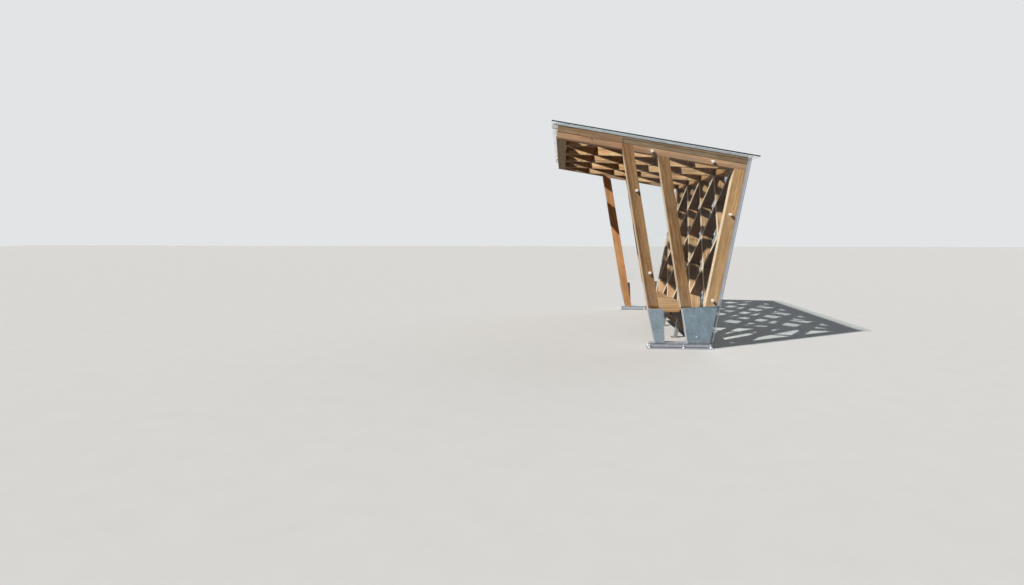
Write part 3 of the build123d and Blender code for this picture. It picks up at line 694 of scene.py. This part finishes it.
def lathe(shape, profile, centre, axis, sides=32, turned=0.0):
    """Adds a closed turned form to a bmesh. The profile runs from the axis, out and back to the axis."""
    helper = UP if abs(axis.z) < 0.9 else ACROSS
    first = helper.cross(axis).normalized()
    second = axis.cross(first)
    rings = []
    for radius, height in profile:
        if radius == 0:
            rings.append([shape.verts.new(centre + axis * height)])
            continue
        ring = []
        for index in range(sides):
            angle = 2 * math.pi * index / sides + turned
            outwards = first * (radius * math.cos(angle)) + second * (radius * math.sin(angle))
            ring.append(shape.verts.new(centre + axis * height + outwards))
        rings.append(ring)
    for low, high in zip(rings, rings[1:]):
        for index in range(sides):
            after = (index + 1) % sides
            if len(low) == 1 and len(high) > 1:
                shape.faces.new((low[0], high[after], high[index]))
            elif len(high) == 1 and len(low) > 1:
                shape.faces.new((low[index], low[after], high[0]))
            elif len(low) > 1:
                shape.faces.new((low[index], low[after], high[after], high[index]))


# Point fixings of the side glass: their places on the posts and beams, and half their section
FRONT_FIXING_HEIGHTS = (1.090, 2.254)
FRONT_FIXING_OFFSET = 0.027
REAR_FIXING_HEIGHTS = (0.700, 1.915)
BEAM_FIXING_REACHES = (1.357, 2.212)
FIXING_PROFILE = [
    (0, 0.0), (0.0209, 0.0), (0.0209, 0.0025), (0.0130, 0.0040), (0.0125, 0.0145), (0.0175, 0.0160),
    (0.0180, 0.0170), (0.0205, 0.0172), (0.0205, 0.0198), (0.0079, 0.0200), (0.0079, 0.0320),
    (0.0205, 0.0322), (0.0207, 0.0345), (0.0205, 0.0400), (0.0190, 0.0425), (0.0160, 0.0437),
    (0.0090, 0.0440), (0.0088, 0.0425), (0.0068, 0.0420), (0.0066, 0.0380), (0, 0.0380),
]


def front_post_y(height):
    """The Y of the front post's middle line at a height."""
    return FRONT_POST_FOOT_Y - height * math.tan(math.radians(FRONT_POST_LEAN))


def wall_y(height, out):
    """The Y of the rear wall at a height, at a distance out from its inner face."""
    drop = FRONT_CORNER.z - (FOLD_REACH + out) * math.sin(ROOF_SLOPE) - height
    return FRONT_CORNER.y + (FOLD_REACH + out) * math.cos(ROOF_SLOPE) - drop * math.tan(ROOF_SLOPE)


fixing_places = [(front_post_y(height) + FRONT_FIXING_OFFSET, height) for height in FRONT_FIXING_HEIGHTS]
fixing_places += [(wall_y(height, REAR_POST_MIDDLE), height) for height in REAR_FIXING_HEIGHTS]
for reach in BEAM_FIXING_REACHES:
    point = FRONT_CORNER + ALONG * reach + NORMAL * ROOF_BEAM_MIDDLE
    fixing_places.append((point.y, point.z))
fixing_steel = turned_steel("fixing_steel")
for end, sign in ENDS.items():
    shape = bmesh.new()
    for y, z in fixing_places:
        lathe(shape, FIXING_PROFILE, Vector((sign * OUTER_X, y, z)), ACROSS * sign, sides=40)
    fixings = add_piece(f"{end}_point_fixings", shape, fixing_steel)
    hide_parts(f"{end}_glass_fixings")

# Anchors of the base rails: washer, six-sided nut and threaded stud at each hole
RAIL_X = 2.425
ANCHOR_OFFSETS = (-0.085, 0.085)
ANCHOR_ROWS = (-0.022, 0.462, 0.844)
WASHER_PROFILE = [
    (0, 0.0121), (0.0205, 0.0121), (0.0210, 0.0126), (0.0210, 0.0156), (0.0205, 0.0161), (0, 0.0161),
]
NUT_PROFILE = [
    (0, 0.0161), (0.0150, 0.0161), (0.0163, 0.0180), (0.0163, 0.0290), (0.0148, 0.0312), (0, 0.0312),
]
STUD_RADIUS = 0.0080
STUD_FOOT = 0.0005
THREAD_ROOT = 0.0070
THREAD_PITCH = 0.0020
THREAD_START = 0.0312
THREAD_END = 0.0600
STUD_TIP = [(0.0072, 0.0620), (0.0060, 0.0630), (0, 0.0630)]
stud_profile = [(0, STUD_FOOT), (STUD_RADIUS, STUD_FOOT)]
level = THREAD_START
while level < THREAD_END:
    stud_profile += [(STUD_RADIUS, level), (THREAD_ROOT, level + THREAD_PITCH / 2)]
    level += THREAD_PITCH
stud_profile += STUD_TIP
bright_zinc = zinc("bright_zinc", "bright_zinc", seed=7.0, dirt=0.0, metallic=0.2)
for end, sign in ENDS.items():
    shape = bmesh.new()
    for offset in ANCHOR_OFFSETS:
        for row in ANCHOR_ROWS:
            # Each nut is tightened to a turn of its own
            foot = Vector((sign * RAIL_X + offset, row, 0.0))
            own_turn = 0.35 + 1.7 * row + 9 * offset
            lathe(shape, WASHER_PROFILE, foot, UP)
            lathe(shape, NUT_PROFILE, foot, UP, sides=6, turned=own_turn)
            lathe(shape, stud_profile, foot, UP, sides=20)
    add_piece(f"{end}_anchors", shape, bright_zinc)


# Front edge of the roof glass, with sections drawn down the roof's slope and square to it
def arc(centre, radius, first, last, steps=8):
    """Points on an arc about a centre, between two angles in degrees."""
    angles = [math.radians(first + (last - first) * step / steps) for step in range(steps + 1)]
    return [(centre[0] + radius * math.cos(angle), centre[1] + radius * math.sin(angle)) for angle in angles]


def prism(shape, section, low, high, soften=0.0):
    """Adds a section's form between two places along the shelter, with its end edges rounded by soften."""
    corners = [FRONT_CORNER + ALONG * reach + NORMAL * rise for reach, rise in section]
    ends = [[shape.verts.new(corner + ACROSS * place) for corner in corners] for place in (low, high)]
    caps = [shape.faces.new(ends[0][::-1]), shape.faces.new(ends[1])]
    for index in range(len(corners)):
        after = (index + 1) % len(corners)
        shape.faces.new((ends[0][index], ends[0][after], ends[1][after], ends[1][index]))
    if soften:
        rims = [edge for cap in caps for edge in cap.edges]
        bmesh.ops.bevel(shape, geom=rims, offset=soften, segments=3, profile=0.5, affect="EDGES")


NOSE_LENGTH = 0.052
SUPPORT_LENGTH = 0.060
SUPPORT_COUNT = 7
NOSE = [
    (-0.001, 0.123), *arc((-0.062, 0.155), 0.032, -90, -180), *arc((-0.082, 0.176), 0.012, 180, 112),
    (-0.022, 0.2130), (-0.001, 0.2135),
]
SUPPORT = [
    (-0.001, 0.172), *arc((-0.042, 0.188), 0.014, -90, -180), *arc((-0.046, 0.203), 0.010, 180, 100),
    (-0.001, 0.2135),
]
STRIP = [(-0.0005, 0.150), (-0.009, 0.150), (-0.012, 0.153), (-0.012, 0.2135), (-0.0005, 0.2135)]
cream = aluminium("cream_aluminium", "cream_aluminium", ACROSS, metallic=0.1)
# The strip is drawn in a darker aluminium than the nose and the supports
dark_strip_metal = aluminium("dark_aluminium", "dark_aluminium", ACROSS, metallic=0.1)
shape = bmesh.new()
prism(shape, STRIP, -OUTER_X + NOSE_LENGTH, OUTER_X - NOSE_LENGTH)
strip = add_piece("front_glass_strip", shape, dark_strip_metal)
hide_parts("front_glass_profile")
shape = bmesh.new()
for low in (-OUTER_X, OUTER_X - NOSE_LENGTH):
    prism(shape, NOSE, low, low + NOSE_LENGTH, soften=0.004)
for index in range(SUPPORT_COUNT):
    middle = (index - SUPPORT_COUNT // 2) * X_PITCH / 2
    prism(shape, SUPPORT, middle - SUPPORT_LENGTH / 2, middle + SUPPORT_LENGTH / 2, soften=0.003)
supports = add_piece("front_glass_supports", shape, cream)
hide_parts("front_glass_profile")

# Button-head bolt low on each wide foot plate
PLATE_BOLT_Y = 0.640
PLATE_BOLT_HEIGHT = 0.175
BOLT_PROFILE = [
    (0, 0.0), (0.0110, 0.0), (0.0110, 0.0012), (0.0092, 0.0014), (0.0088, 0.0035), (0.0070, 0.0055),
    (0.0042, 0.0062), (0.0040, 0.0040), (0, 0.0040),
]
for end, sign in ENDS.items():
    shape = bmesh.new()
    spot = Vector((sign * (OUTER_X + PLATE_THICKNESS), PLATE_BOLT_Y, PLATE_BOLT_HEIGHT))
    lathe(shape, BOLT_PROFILE, spot, ACROSS * sign, sides=28)
    add_piece(f"{end}_plate_bolt", shape, bright_zinc)

# Floor: pale where it is looked at, and darker for the light that it throws up under the roof
FLOOR_REACH = 60
PALE_FLOOR = (0.620, 0.620, 0.618)
CLOUDY_FLOOR = (0.575, 0.575, 0.575)
LIT_FLOOR = (0.110, 0.105, 0.100)
floor_mesh = bpy.data.meshes.new("floor")
floor_corners = [(-FLOOR_REACH, -FLOOR_REACH, 0), (FLOOR_REACH, -FLOOR_REACH, 0),
                 (FLOOR_REACH, FLOOR_REACH, 0), (-FLOOR_REACH, FLOOR_REACH, 0)]
floor_mesh.from_pydata(floor_corners, [], [(0, 1, 2, 3)])
floor = bpy.data.objects.new("floor", floor_mesh)
scene.collection.objects.link(floor)
ground = new_tree("floor")
clouds = ground.noise(ground.place(), scale=3.0, detail=6.0, roughness=0.6)
pale = ground.mix(clouds, PALE_FLOOR, CLOUDY_FLOOR)
ground.set(ground.shader.inputs["Base Color"], ground.mix(ground.looked_at(), LIT_FLOOR, pale))
ground.shader.inputs["Roughness"].default_value = 0.9
ground.shader.inputs["Specular IOR Level"].default_value = 0.1
floor_mesh.materials.append(ground.owner)

# Surround: pale where it is looked at, and dim for the light on the object
PALE_SURROUND = (0.760, 0.775, 0.790)
DIM_SURROUND = (0.034, 0.041, 0.054)
scene.world = bpy.data.worlds.new("world")
sky = Tree(scene.world)
background = sky.nodes["Background"].inputs
sky.set(background["Color"], sky.mix(sky.looked_at(), DIM_SURROUND, PALE_SURROUND))
background["Strength"].default_value = 1.0


# Lamps: a warm sun from the front and the right end, and a weak wide fill from the rear and the left end
def add_sun(name, strength, spread, colour, towards):
    """Adds a sun. spread is in degrees, and towards is the direction in which the light travels."""
    data = bpy.data.lights.new(name, "SUN")
    data.energy = strength
    data.angle = math.radians(spread)
    data.color = colour
    lamp = bpy.data.objects.new(name, data)
    lamp.rotation_euler = towards.to_track_quat("-Z", "Y").to_euler()
    scene.collection.objects.link(lamp)


add_sun("sun", strength=4.8, spread=0.9, colour=(1.0, 0.96, 0.90), towards=-SUNNY)
add_sun("fill", strength=0.7, spread=50.0, colour=(0.92, 0.96, 1.0), towards=Vector((0.66, -0.42, -0.62)))
scene.view_settings.view_transform = "Standard"
